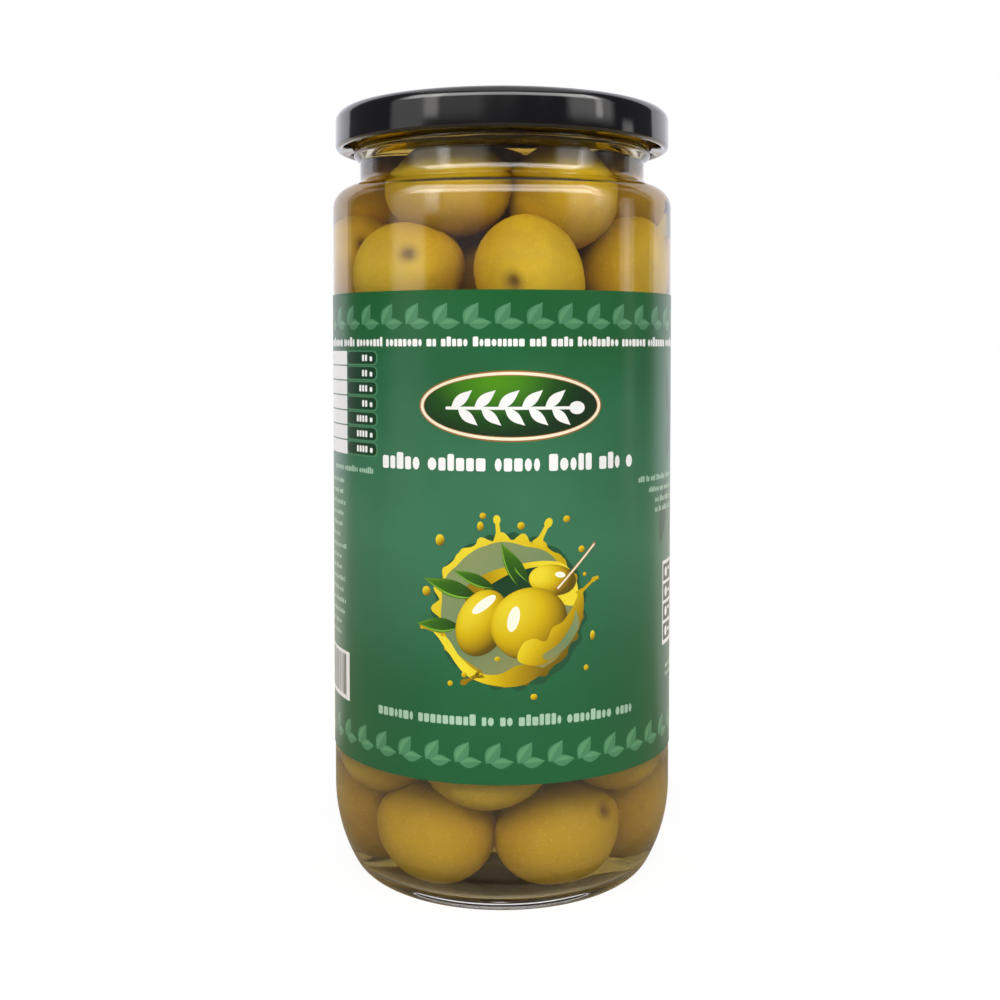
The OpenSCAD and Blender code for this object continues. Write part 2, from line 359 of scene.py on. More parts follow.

# %% [markdown]
# Olives settle in rough rings against the wall. The ones that show are listed one by one. Rings of others
# fill the rest, and then all of them push each other apart for a while, which is how the heap gets
# its natural, uneven gaps. Each olive is treated as two balls along its length, which is close enough.

# %% Where the olives lie
SEEN = [
    # turn, radius, height, lean, then how far across and up its scar faces, as seen from outside
    (-50, 23.0, 15.6, -3, -100, 0), (37.5, 23.0, 15.8, 8, 30, 24),
    (-4, 23.4, 34.6, 6, 80, 60), (-68, 23.2, 34.0, 0, 120, 0), (66, 23.2, 34.0, 0, 110, 40),
    (-108, 22.6, 16.5, 70, 100, 0), (101, 22.6, 16.5, -70, 100, 0),
    (-44.5, 23.4, 130.2, 6, 38, 18), (21, 23.2, 129.0, -70, -40, -10), (79, 23.2, 136.0, 60, 120, 30),
    (-35, 19.6, 147.8, -4, 160, 30), (44, 20.0, 143.6, 76, 90, 0), (-104, 22.6, 138.0, 50, 100, 20),
    (-7, 12.4, 134.6, 60, 150, 0),
]
RING_RISE = 16.5
RINGS = 8
PER_RING = 6
BALL_OUT = 1.9
BALL_R = 10.15

random.seed(5)
heap = []


def add_olive(turn, radius, height, lean, scar_across, scar_up, held=False):
    """Notes an olive's centre, its long line, where its scar faces, its size and if it is held."""
    t = math.radians(turn)
    outward = Vector((math.sin(t), -math.cos(t), 0))
    level = Vector((math.cos(t), math.sin(t), 0))
    centre = outward * radius + Vector((0, 0, height))
    along = Matrix.Rotation(math.radians(lean), 3, outward) @ level
    across, up = math.radians(scar_across), math.radians(scar_up)
    scar = (outward * math.cos(across) + level * math.sin(across)) * math.cos(up)
    scar.z += math.sin(up)
    heap.append({"at": centre, "along": along, "scar": scar, "held": held,
                 "size": random.uniform(0.96, 1.03)})


for place in SEEN:
    add_olive(*place, held=True)
for ring in range(RINGS):
    height = 14.8 + ring * RING_RISE
    start = -30 + 30 * (ring % 2)
    for k in range(PER_RING):
        spot = (start + 60 * k + 180) % 360 - 180
        near = [s for s in SEEN if abs(s[2] - height) < 9 and abs((s[0] - spot + 180) % 360 - 180) < 42]
        if not near:
            add_olive(spot + random.uniform(-6, 6), 23.4, height + random.uniform(-2, 2),
                      random.uniform(-40, 40), random.uniform(-180, 180), random.uniform(-60, 60))
    add_olive(random.uniform(0, 360), 2.0, height + RING_RISE / 2, random.uniform(40, 90), 90, 0)
for spot in (108, 168, -136):
    add_olive(spot, 18.0, 148.0, random.uniform(-20, 20), random.uniform(-180, 180), 20)
print(f"{len(heap)} olives")

# %% Let the olives settle
NEAR = 2 * (BALL_R + BALL_OUT)
GLASS_GAP, FLOOR_GAP, SURFACE_GAP = 0.35, 0.6, 0.8
PUSHES, PUSH_SHARE, HELD_SHARE = 90, 0.25, 0.1
inner_wall = [(r, z) for r, z in inner_skin(0, RIM_Z) if r > 20]


def room(z):
    """How far from the axis a ball's centre may lie at a height, so that it clears the wall."""
    limits = []
    for (r0, z0), (r1, z1) in zip(inner_wall, inner_wall[1:]):
        parts = 1 + int(abs(z1 - z0))
        for part in range(parts + 1):
            height = z0 + (z1 - z0) * part / parts - z
            if abs(height) < BALL_R:
                limits.append(r0 + (r1 - r0) * part / parts - math.sqrt(BALL_R ** 2 - height ** 2))
    return max(0.0, min(limits, default=0.0) - GLASS_GAP)


def balls(olive):
    """The centres of an olive's two balls."""
    offset = olive["along"] * BALL_OUT
    return olive["at"] - offset, olive["at"] + offset


rooms = [room(z) for z in range(int(RIM_Z))]
for _ in range(PUSHES):
    moves = [Vector() for _ in heap]
    for i, a in enumerate(heap):
        for j in range(i + 1, len(heap)):
            b = heap[j]
            if (a["at"] - b["at"]).length > NEAR:
                continue
            for p in balls(a):
                for q in balls(b):
                    gap = p - q
                    over = 2 * BALL_R - gap.length
                    if over > 0:
                        push = gap.normalized() * over * PUSH_SHARE
                        moves[i] += push * (HELD_SHARE if a["held"] else 1)
                        moves[j] -= push * (HELD_SHARE if b["held"] else 1)
    for olive, move in zip(heap, moves):
        olive["at"] += move
        for p in balls(olive):
            r = math.hypot(p.x, p.y)
            over = r - rooms[min(len(rooms) - 1, max(0, round(p.z)))]
            if over > 0 and r > 0:
                olive["at"] -= Vector((p.x, p.y, 0)) / r * over
            lift = FLOOR_Z + FLOOR_GAP + BALL_R - p.z
            if lift > 0:
                olive["at"].z += lift
            drop = p.z + BALL_R - (BRINE_Z - SURFACE_GAP)
            if drop > 0:
                olive["at"].z -= drop
for olive in heap[:len(SEEN)]:
    x, y, z = olive["at"]
    turn = math.degrees(math.atan2(x, -y))
    print(f"seen olive: turn {turn:.0f}, radius {math.hypot(x, y):.1f}, {z:.1f} up")

# %% [markdown]
# The copies are joined into one mesh, because they are one heap of one thing. A gentle noise dents
# every olive in its own way, and the two numbers are stored in float layers that shaders can read.

# %% The heap
DENT, DENT_SCALE = 0.45, 9
NOISE_STEP = (7.3, 3.1)
SCAR_SPREAD = 4.0
# An olive's tone rises with its height in the jar, plus a random share: browner low down, more golden
# higher up.
TONE_BY_HEIGHT, TONE_BY_CHANCE = 0.7, 0.35

olives_bm = bmesh.new()
tone_layer = olives_bm.verts.layers.float.new("tone")
scar_layer = olives_bm.verts.layers.float.new("scar")
for number, olive in enumerate(heap):
    before = len(olives_bm.verts)
    olives_bm.from_mesh(olive_mesh)
    olives_bm.verts.ensure_lookup_table()
    fresh = olives_bm.verts[before:]
    height_share = olive["at"].z / BRINE_Z
    tone = min(1.0, TONE_BY_HEIGHT * height_share + TONE_BY_CHANCE * random.random())
    own = Vector((number * NOISE_STEP[0], number * NOISE_STEP[1], 0))
    for v in fresh:
        here = v.co / MM
        v[tone_layer] = tone
        v[scar_layer] = math.exp(-((here.x ** 2 + here.y ** 2) / SCAR_SPREAD)) if here.z > 0 else 0.0
        v.co += v.co.normalized() * DENT * MM * noise.noise(here / DENT_SCALE + own)
    face_scar = olive["scar"].to_track_quat("Z", "Y").to_matrix().to_4x4()
    stretch = Matrix.Scale(OLIVE_STRETCH * olive["size"], 4, olive["along"])
    place = Matrix.Translation(olive["at"] * MM) @ stretch @ face_scar
    bmesh.ops.transform(olives_bm, matrix=place, verts=fresh)
bmesh.ops.recalc_face_normals(olives_bm, faces=olives_bm.faces[:])
olives = piece("olive_heap", olives_bm, "olives")

# %% [markdown]
# ## The paper label
# The label is a strip of paper, so it is drawn flat in millimetres and then rolled round the jar.
# Rolling is one short function: across becomes an angle, and up stays up. Everything printed on the
# label is drawn flat too and rolled by the same function, a hair further out.

# %% The label's paper
SEAM = 12.0
PAPER_INSIDE = BODY_R + 0.02
PAPER_LENGTH = math.tau * BODY_R - SEAM


def rolled(bm):
    """Rolls a flat bmesh (x across, y up, z out of the paper) round the jar."""
    for v in bm.verts:
        out = PAPER_R + v.co.z
        turn = v.co.x / PAPER_R
        v.co = Vector((out * math.sin(turn), -out * math.cos(turn), v.co.y)) * MM
    return bm


def flat_grid(left, bottom, right, top, columns, rows):
    """A flat rectangle of quads."""
    bm = bmesh.new()
    bmesh.ops.create_grid(bm, x_segments=columns, y_segments=rows, size=0.5)
    bmesh.ops.scale(bm, vec=(right - left, top - bottom, 1), verts=bm.verts[:])
    bmesh.ops.translate(bm, vec=((left + right) / 2, (bottom + top) / 2, 0), verts=bm.verts[:])
    return bm


paper_bm = flat_grid(-PAPER_LENGTH / 2, PAPER_Z, PAPER_LENGTH / 2, PAPER_TOP, 224, 24)
shell = bmesh.ops.extrude_face_region(paper_bm, geom=paper_bm.faces[:])
lowered = [g for g in shell["geom"] if isinstance(g, bmesh.types.BMVert)]
bmesh.ops.translate(paper_bm, vec=(0, 0, PAPER_INSIDE - PAPER_R), verts=lowered)
rolled(paper_bm)
bmesh.ops.recalc_face_normals(paper_bm, faces=paper_bm.faces[:])
paper = piece("label_paper", paper_bm, "label")

# %% [markdown]
# Print is drawn as thin films of ink. A shape starts as a flat outline that is filled, cut into narrow
# columns so that it can bend round the jar, given a whisker of thickness and rolled. Layers lie at
# their own heights, so that a motif printed over another one never flickers with it.

# %% Helpers for print
FILM = 0.005
COLUMN = 1.0
SHADE_STEP = 0.5


class Ink:
    """Collects the flat shapes of one colour, then makes them one rolled piece."""

    def __init__(self, name):
        self.name = name
        self.bm = bmesh.new()
        self.bm.verts.layers.float.new("shade")

    def shape(self, points, layer=1, shade=None):
        """Adds a filled outline. shade(x, y) gives 0 to 1 over the shape for its material."""
        one = bmesh.new()
        layer_of_shade = one.verts.layers.float.new("shade")
        face = one.faces.new([one.verts.new((x, y, 0)) for x, y in points])
        face.normal_update()
        if face.normal.z < 0:
            bmesh.ops.reverse_faces(one, faces=[face])
        for axis, step in ((0, SHADE_STEP if shade else COLUMN), (1, SHADE_STEP)):
            if axis == 0 or shade:
                places = [p[axis] for p in points]
                for cut in range(math.floor(min(places) / step) + 1, math.ceil(max(places) / step)):
                    across = [float(axis == 0), float(axis == 1), 0.0]
                    bmesh.ops.bisect_plane(one, geom=one.verts[:] + one.edges[:] + one.faces[:],
                                           plane_co=[cut * step * c for c in across],
                                           plane_no=across, dist=0.001)
        top = bmesh.ops.extrude_face_region(one, geom=one.faces[:])
        raised = [g for g in top["geom"] if isinstance(g, bmesh.types.BMVert)]
        bmesh.ops.translate(one, vec=(0, 0, layer * FILM), verts=raised)
        for v in raised:
            v[layer_of_shade] = shade(v.co.x, v.co.y) if shade else 0.5
        bmesh.ops.recalc_face_normals(one, faces=one.faces[:])
        flat = mesh_of("one_shape", one)
        self.bm.from_mesh(flat)
        bpy.data.meshes.remove(flat)

    def made(self):
        """Rolls the shapes round the jar as one piece."""
        return piece(self.name, rolled(self.bm))


def turned(points, angle, x, y):
    """Points turned by an angle in degrees and moved to (x, y)."""
    c, s = math.cos(math.radians(angle)), math.sin(math.radians(angle))
    return [(x + px * c - py * s, y + px * s + py * c) for px, py in points]


def oval(half_w, half_h, steps=40):
    """An oval's outline."""
    turns = [math.tau * i / steps for i in range(steps)]
    return [(half_w * math.cos(t), half_h * math.sin(t)) for t in turns]


def leaf(length, width, steps=9):
    """A pointed leaf from its stalk at (0, 0) to its tip on the x axis."""
    shares = [i / steps for i in range(steps + 1)]
    upper = [(length * s, width / 2 * math.sin(math.pi * s ** 0.85) ** 1.15) for s in shares]
    return upper + [(x, -y) for x, y in upper[-2:0:-1]]


def bar(width, height, round_r=None, steps=5):
    """A bar with rounded corners, its lower left corner at (0, 0)."""
    r = min(width, height) / 2 if round_r is None else round_r
    corners = [(width - r, r, -90), (width - r, height - r, 0), (r, height - r, 90), (r, r, 180)]
    points = []
    for x, y, start in corners:
        points += arc(x, y, r, start, start + 90, steps)
    return points


def moved(points, x, y):
    """Points moved by (x, y)."""
    return [(px + x, py + y) for px, py in points]


# %% [markdown]
# A row of leaf sprigs runs round the label near both edges. A sprig is two leaves from one stalk, one
# upright and one lying, each with a lighter half, and a loop repeats it at an even pitch.

# %% Leaf borders
PITCH = 6.35
SPRIGS = int(PAPER_LENGTH / PITCH / 2)
SPRIG_ROWS = ((1.4, 120.9), (-0.6, 33.3))
SPRIG_LEAVES = (
    # angle, length, width, then how far across the leaf starts
    (56, 5.2, 3.0, -2.6), (4, 4.7, 2.3, -1.7),
)
pale_ink = Ink("print_leaves")
light_ink = Ink("print_leaf_lights")


def sprig(x, y):
    """Two leaves that share a stalk, each split by a lighter vein side."""
    for angle, length, width, dx in SPRIG_LEAVES:
        pale_ink.shape(turned(leaf(length, width), angle, x + dx, y))
        half = [(px * 0.9 + 0.3, abs(py) * 0.72) for px, py in leaf(length, width)[:10]]
        light_ink.shape(turned(half, angle, x + dx, y), 2)


for number in range(-SPRIGS, SPRIGS + 1):
    for across, up in SPRIG_ROWS:
        sprig(number * PITCH + across, up)
print(f"{2 * (2 * SPRIGS + 1)} sprigs")

# %% [markdown]
# Lines of small print carry no words here. Each is a run of little blocks, grouped as words are and
# with a taller block now and then, which gives the label its texture at the right scale.

# %% Blocked-in copy
white_ink = Ink("print_white")
copy_ink = Ink("print_pale_copy")
random.seed(12)


def copy_line(left, right, y, height, ink=white_ink, letters=(2, 9)):
    """A run of blocks from left to right, in words of a few letters."""
    x = left
    while x < right - height:
        for _ in range(random.randint(*letters)):
            width = height * random.uniform(0.45, 0.75)
            tall = height * (1.3 if random.random() < 0.2 else 1.0)
            if x + width > right:
                break
            if tall == height and random.random() < 0.4:
                blob = moved(oval(width / 2, height / 2, 10), width / 2, height / 2)
            else:
                blob = bar(width, tall, height * 0.14, 2)
            ink.shape(moved(blob, x, y), 2)
            x += width + height * 0.16
        x += height * 0.55


copy_line(-52, 52, 116.5, 1.5)
copy_line(-28, 31, 40.9, 1.75, copy_ink)
copy_line(-26.4, 30.8, 91.8, 2.6, letters=(3, 6))
for y, left in ((88.3, 32), (85.9, 36), (83.6, 39), (81.5, 39)):
    copy_line(left, 52, y, 0.95, copy_ink)
for row in range(15):
    left, right = -54 - random.uniform(0, 3), -41.5 + random.uniform(-3, 1.5)
    copy_line(left, right, 87.5 - 2.35 * row, 0.8, copy_ink)
for row in range(9):
    copy_line(58, 92 - random.uniform(0, 8), 112 - 2.6 * row, 0.9, copy_ink)
    copy_line(-95, -66 - random.uniform(0, 6), 84 - 2.6 * row, 0.9, copy_ink)
copy_line(46, 56, 46.8, 0.8, copy_ink)
copy_line(46, 58, 45.0, 0.8, copy_ink)

# %% [markdown]
# The facts table is a white field with ruled rows, and its figures sit in dark pills with a pale rim.

# %% The facts table
ROWS = 7
ROW_H = 3.14
TABLE_TOP = 115.8
TABLE_LEFT, TABLE_RIGHT = -74.0, -39.6
deep_ink = Ink("print_deep_green")
grey_ink = Ink("print_grey")

for row in range(ROWS):
    y = TABLE_TOP - ROW_H * (row + 1)
    white_ink.shape(moved(bar(TABLE_RIGHT - TABLE_LEFT, ROW_H - 0.25, 0.1), TABLE_LEFT, y), 1)
    pale_ink.shape(moved(bar(11.6, ROW_H - 0.1, 1.2), TABLE_RIGHT + 0.1, y - 0.05), 1)
    deep_ink.shape(moved(bar(10.9, ROW_H - 0.65, 1.0), TABLE_RIGHT + 0.35, y + 0.25), 2)
    copy_width = random.uniform(9, 22)
    copy_line(TABLE_LEFT + 2, TABLE_LEFT + 2 + copy_width, y + 1.0, 0.9, grey_ink)
    for k in range(random.randint(2, 4)):
        white_ink.shape(moved(bar(0.75, 1.35, 0.2, 2), TABLE_RIGHT + 7.6 - 1.05 * k, y + 0.8), 3)
    white_ink.shape(moved(bar(0.85, 1.0, 0.25, 2), TABLE_RIGHT + 9.2, y + 0.8), 3)
copy_line(-48, -29.2, 90.3, 1.0, copy_ink)

# %% [markdown]
# The badge is an oval with a cream rim, a fine brown line round it and a green field that darkens
# downwards. In place of a name it holds a plain olive sprig.

# %% The badge
BADGE_X, BADGE_Y = 2.0, 104.7
BADGE_W, BADGE_H = 19.1, 7.1
cream_ink = Ink("print_cream")
brown_ink = Ink("print_brown")
badge_ink = Ink("print_badge_green")


def badge_glow(x, y):
    """The badge's green is lightest at its upper left and darkens away from there."""
    return max(0, 1 - math.hypot((x - BADGE_X + 4) / 19, (y - BADGE_Y - 5) / 11))


BADGE_OVALS = [
    # ink, how far in from the badge's edge at its sides and at its top, layer, shade
    (brown_ink, 0, 0, 1, None), (cream_ink, 0.3, 0.3, 2, None), (brown_ink, 0.95, 0.9, 3, None),
    (badge_ink, 1.12, 1.07, 4, badge_glow),
]
for ink, in_x, in_y, layer, shade in BADGE_OVALS:
    ink.shape(moved(oval(BADGE_W - in_x, BADGE_H - in_y, 72), BADGE_X, BADGE_Y), layer, shade)
white_ink.shape(moved(bar(26.0, 0.6), BADGE_X - 13.4, BADGE_Y - 0.7), 5)
for k in range(5):
    x = BADGE_X - 12.2 + 4.7 * k
    white_ink.shape(turned(leaf(5.6, 2.1), 40, x, BADGE_Y - 0.4), 5)
    white_ink.shape(turned(leaf(5.2, 2.0), -40, x + 1.4, BADGE_Y - 0.5), 5)
white_ink.shape(moved(oval(1.7, 1.3), BADGE_X + 13.4, BADGE_Y - 0.4), 5)

# %% [markdown]
# The picture is built up in layers, from the back: a wavy ring of oil with drops thrown off it, dark
# shade inside the ring, leaves, three olives with their lights and shades, a stalk, and a sheet of oil
# that laps over the front olive. Every outline is a formula or a smooth curve through a few chosen
# points, and each shape gets a shade that runs across it for the material to colour.

# %% Helpers for the picture
PIC_X, PIC_Y = 1.6, 64.6
gold_ink = Ink("print_gold")
film_ink = Ink("print_oil_film")
shine_ink = Ink("print_highlight")
green_ink = Ink("print_leaf_green")
edge_ink = Ink("print_leaf_edges")
shadow_ink = Ink("print_shadow_leaves")


def wavy(radius, squash, depth, waves, phase, steps=144):
    """A ring's wavy edge: two waves of different length over an oval."""
    points = []
    for i in range(steps):
        t = math.tau * i / steps
        wave = depth * (abs(math.sin(waves * t / 2 + phase)) + 0.7 * math.sin((waves - 4) * t))
        points.append(((radius + wave) * math.cos(t), (radius + wave) * squash * math.sin(t)))
    return points


def through(*points, steps=6):
    """A smooth closed curve through a few points."""
    count = len(points)
    curve = []
    for i in range(count):
        a, b, c, d = (Vector(points[(i + k - 1) % count]) for k in range(4))
        for j in range(steps):
            t = j / steps
            bend = (2 * a - 5 * b + 4 * c - d) * t * t + (3 * b - a - 3 * c + d) * t ** 3
            curve.append(tuple((2 * b + (c - a) * t + bend) / 2))
    return curve


def fade(x0, y0, x1, y1):
    """A shade that runs from 0 at one point of the picture to 1 at another."""
    dx, dy = x1 - x0, y1 - y0
    along = dx * dx + dy * dy
    return lambda x, y: min(1, max(0, ((x - PIC_X - x0) * dx + (y - PIC_Y - y0) * dy) / along))


def round_shade(dx, dy, half_l, half_w, angle):
    """The shade of a round thing lit from the upper left, dark at its lower right rim."""
    c, s = math.cos(math.radians(angle)), math.sin(math.radians(angle))

    def shade(x, y):
        px, py = x - PIC_X - dx, y - PIC_Y - dy
        along, across = (px * c + py * s) / half_l, (py * c - px * s) / half_w
        depth = math.sqrt(max(0.0, 1 - along * along - across * across))
        lit = (-0.5 * px + 0.42 * py) / half_w + 0.75 * depth
        return min(1.0, max(0.0, 0.12 + 0.8 * lit))

    return shade


def paint(ink, points, layer, shade=None):
    """Prints a shape that was drawn round the picture's own centre."""
    ink.shape(moved(points, PIC_X, PIC_Y), layer, shade)


# %% Splash
splash_light = fade(4, -20, -4, 18)
RINGS_OF_OIL = [
    # ink, radius, squash, depth of the waves, their number and start, how far across and up, layer, shade
    (shadow_ink, 15.5, 0.98, 0.5, 23, 0.4, 0.1, -0.8, 0.5, None),
    (gold_ink, 14.6, 0.98, 0.8, 25, 0.4, -0.3, -0.4, 1, fade(12, -12, -8, 12)),
    (film_ink, 13.7, 0.97, 0.3, 11, 1.1, -0.3, -0.4, 2, fade(10, -12, -8, 12)),
]
for ink, radius, squash, depth, waves, start, dx, dy, layer, shade in RINGS_OF_OIL:
    paint(ink, turned(wavy(radius, squash, depth, waves, start), -12, dx, dy), layer, shade)
paint(gold_ink, through((-9.5, 3), (-5, 6.8), (1, 8.6), (7, 9.3), (11.4, 8.2), (14, 4), (13, 0),
                        (5, 2), (-6, 0)), 3, fade(-10, 0, 6, 10))
paint(deep_ink, through((-6, 2.6), (-3, 5.2), (1, 7.2), (6, 8.2), (10, 7.6), (12.6, 4.6),
                        (6, 1), (-3, 0)), 4)
paint(gold_ink, through((-15.6, -5.2), (-12.6, -6.4), (-10, -10), (-6, -13), (-2, -13.2),
                        (2, -11.4), (7, -12.6), (2, -15.6), (-4, -15.4), (-9, -13.4),
                        (-12.6, -9), (-14.6, -6.4)), 5, fade(8, -14, -8, -10))
PRONGS = [
    # foot across and up, angle, reach, size of the drop at the tip
    (-2.3, 14.6, 96, 2.6, 0.85), (6.0, 13.6, 62, 3.2, 0.95), (15.0, 2.8, 38, 3.2, 0.6),
    (-14.6, -5.2, 168, 3.4, 0.5), (-6.6, -13.6, 208, 2.6, 0.75),
]
for x, y, angle, reach, drop in PRONGS:
    arm = [(-1.2, -drop * 1.4), (0.4, -drop * 0.55), (reach, -drop * 0.42), (reach, drop * 0.42),
           (0.4, drop * 0.55), (-1.2, drop * 1.4)]
    tip = moved(oval(drop * 1.1, drop * 0.85, 20), reach + drop * 0.5, 0)
    paint(gold_ink, turned(arm, angle, x, y), 5, splash_light)
    paint(gold_ink, turned(tip, angle, x, y), 6, splash_light)
DROPS = [
    # across, up, half width, half height
    (-14.2, 13.3, 0.95, 1.2), (-5.9, 16.3, 0.65, 0.95), (-5.4, 18.4, 0.65, 0.6),
    (2.2, 16.4, 0.75, 0.75), (11.6, 17.5, 0.75, 0.7), (14.9, 11.3, 0.7, 0.7),
    (-17.2, 2.9, 0.9, 1.0), (17.5, -6.4, 0.55, 1.0), (16.0, -12.8, 0.55, 0.6),
    (4.8, -17.9, 0.7, 0.6), (-12.1, -15.4, 0.55, 0.55), (-9.2, -13.5, 0.55, 0.6),
    (-2.5, -10.2, 0.6, 0.5), (15.6, 6.2, 0.4, 0.4), (18.6, 5.2, 0.4, 0.4),
]
for x, y, half_w, half_h in DROPS:
    paint(gold_ink, moved(oval(half_w, half_h, 18), x, y), 6, fade(x + 0.6, y - 0.8, x - 0.4, y + 0.6))
print(f"{len(PRONGS)} prongs and {len(DROPS)} drops")

# %% Leaves, olives and stalk
LEAVES = [
    # angle, length, width, then the stalk end across and up
    (124, 9.2, 2.0, 3.8, 5.0), (111, 9.6, 2.2, 1.6, 4.4), (158, 9.2, 2.4, -3.0, 4.0),
    (164, 11.8, 3.4, -6.4, 2.2), (180, 9.4, 3.0, -10.0, -3.8),
]
for angle, length, width, dx, dy in LEAVES:
    outline = leaf(length, width, 12)
    tip_x, tip_y = turned([(length, 0)], angle, dx, dy)[0]
    light_side = [(x, y * 0.9) for x, y in outline[:13]] + [(length * 0.5, width * 0.12)]
    blade = [(x * 0.96 + 0.1, y * 0.62 + width * 0.02) for x, y in outline]
    past_tip = fade(dx, dy, tip_x * 1.3 - dx * 0.3, tip_y * 1.3 - dy * 0.3)
    paint(green_ink, turned(outline, angle, dx, dy), 6, fade(dx, dy, tip_x, tip_y))
    paint(edge_ink, turned(light_side, angle, dx, dy), 7)
    paint(green_ink, turned(blade, angle, dx, dy), 8, past_tip)

OLIVES_DRAWN = [
    # place, half length, half width, angle, layer, its highlight's place, length, width and angle
    (8.7, 5.4, 5.0, 3.1, -8, 9, (10.2, 6.4, 1.1, 0.6, -10)),
    (-5.6, -3.0, 7.0, 5.0, 66, 11, (-5.2, 0.7, 2.9, 0.95, 38)),
    (4.0, -3.2, 7.9, 7.2, 20, 13, (0.7, -2.2, 2.6, 1.15, 76)),
]
for dx, dy, half_l, half_w, angle, layer, (hx, hy, long, wide, lean) in OLIVES_DRAWN:
    paint(gold_ink, turned(oval(half_l, half_w, 56), angle, dx, dy), layer,
          round_shade(dx, dy, half_l, half_w, angle))
    paint(shine_ink, turned(oval(long, wide, 28), lean, hx, hy), layer + 1)
for layer, inner, half, ink in ((12, 0.0, 0.34, brown_ink), (13, 0.3, 0.18, cream_ink)):
    stalk = [(inner, -half), (12.4 - inner, -half * 0.8), (12.6 - inner, half), (6, half * 0.9),
             (inner, half)]
    paint(ink, turned(stalk, 46, 9.4, 3.4), layer)
paint(gold_ink, through((1.6, -10.6), (2.4, -7.4), (4.6, -6.2), (7.2, -6.8), (8.6, -4.2),
                        (10.8, -3.0), (13.2, 0.2), (14.8, 3.4), (15.4, -0.6), (14.0, -5.4),
                        (10.6, -9.2), (6.0, -11.6)), 15, fade(12, -10, 4, -4))
paint(film_ink, through((6.6, -9.6), (10, -7.4), (12.8, -3.6), (13.6, -1), (14.2, -4.4),
                        (11.4, -8.4), (8, -10.6)), 16, fade(6, -12, 14, 0))

# %% [markdown]
# A bar-coded panel, a column of small care signs and a few large dark leaves fill the sides.

# %% The label's sides
white_ink.shape(moved(bar(17.0, 10.4, 0.2), -56.0, 41.1), 1)
x = -55.2
while x < -40.6:
    width = random.choice((0.25, 0.4, 0.6))
    deep_ink.shape(moved([(0, 0), (width, 0), (width, 8.8), (0, 8.8)], x, 42.0), 2)
    x += width + random.choice((0.3, 0.45))
white_ink.shape(moved(bar(8.2, 18.2, 0.3), 43.6, 52.2), 1)
for k in range(4):
    y = 53.1 + 4.3 * k
    deep_ink.shape(moved(bar(7.0, 3.6, 0.2), 44.2, y), 2)
    white_ink.shape(moved(oval(1.1, 1.1, 20), 46.4, y + 1.8), 3)
    white_ink.shape(moved(bar(2.4, 0.7, 0.2), 48.2, y + 1.4 + 0.5 * (k % 2)), 3)
for angle, x, y in ((75, 42, 74), (62, 46, 92), (105, 50, 98), (60, 72, 60), (110, 84, 66),
                    (80, 98, 60), (100, -62, 48), (70, -84, 44), (95, -100, 96)):
    shadow_ink.shape(turned(leaf(15.0, 4.4, 14), angle, x, y), 1)

print_pieces = {ink.name: ink.made() for ink in (
    pale_ink, light_ink, white_ink, deep_ink, grey_ink, cream_ink, brown_ink, badge_ink,
    gold_ink, film_ink, shine_ink, green_ink, edge_ink, shadow_ink, copy_ink)}

# %% [markdown]
# ## Finishes
# Every finish is a small net of shader nodes. One helper adds a node, sets its properties and joins
# its inputs in a single call, so that each finish below reads like its description.

# %% Helpers for node nets


def add(tree, kind, *inputs, **named):
    """Adds a node. Names that are its properties are set, other names and places are its inputs."""
    node = tree.nodes.new("ShaderNode" + kind)
    for name, value in named.items():
        if hasattr(node, name):
            setattr(node, name, value)
    for name, value in named.items():
        if not hasattr(node, name):
            feed(tree, node.inputs[name.replace("_", " ")], value)
    for socket, value in zip(node.inputs, inputs):
        feed(tree, socket, value)
    return node


def feed(tree, socket, value):
    """Gives an input a constant, or links it to an output."""
    if isinstance(value, bpy.types.NodeSocket):
        tree.links.new(value, socket)
    elif isinstance(value, bpy.types.Node):
        tree.links.new(next(o for o in value.outputs if o.enabled), socket)
    elif value is not None:
        socket.default_value = value


def rgb(red, green, blue):
    """A linear colour from the 0 to 255 values that a colour picker shows."""
    linear = [((c / 255 + 0.055) / 1.055) ** 2.4 if c > 10 else c / 255 / 12.92
              for c in (red, green, blue)]
    return (*linear, 1.0)


def finish(name):
    """An empty material, its node tree and the place on the piece that its patterns read."""
    material = bpy.data.materials.new(name)
    material.use_nodes = True
    tree = material.node_tree
    tree.nodes.clear()
    return material, tree, add(tree, "TexCoord").outputs["Object"]


def output(tree, surface, volume=None):
    """Joins a shader to the material's output."""
    add(tree, "OutputMaterial", surface, volume)


def mix_colours(tree, factor, first, second):
    """The first colour where the factor is 0, the second where it is 1."""
    node = add(tree, "Mix", factor, data_type="RGBA")
    feed(tree, node.inputs[6], first)
    feed(tree, node.inputs[7], second)
    return node.outputs[2]


def mix_shaders(tree, factor, first, second):
    """The first shader where the factor is 0, the second where it is 1."""
    node = tree.nodes.new("ShaderNodeMixShader")
    for socket, value in zip(node.inputs, (factor, first, second)):
        feed(tree, socket, value)
    return node


def ray_is(tree, kind):
    """1 for rays of one kind, such as Camera or Shadow."""
    return add(tree, "LightPath").outputs[f"Is {kind} Ray"]


def turn_about_jar(tree, direction):
    """The compass turn of a direction or place, in degrees: 0 is the front and 90 the right."""
    split = add(tree, "SeparateXYZ", direction)
    toward_front = add(tree, "Math", split.outputs["Y"], -1.0, operation="MULTIPLY")
    turn = add(tree, "Math", split.outputs["X"], toward_front, operation="ARCTAN2")
    return add(tree, "Math", turn, operation="DEGREES")


def ramp(tree, factor, *stops):
    """A colour ramp through (place, colour) stops."""
    node = add(tree, "ValToRGB", factor)
    elements = node.color_ramp.elements
    while len(elements) < len(stops):
        elements.new(0.5)
    for element, (place, colour) in zip(elements, stops):
        element.position = place
        element.color = colour
    return node


# %% [markdown]
# Two effects turn up in several finishes, so each is a node group. Handling leaves glass, lacquer and
# varnish with faint smears, which show only as uneven roughness. Ink and olive skin both vary a little
# in colour, in soft blotches with finer specks inside them.

# %% Shared effects as node groups


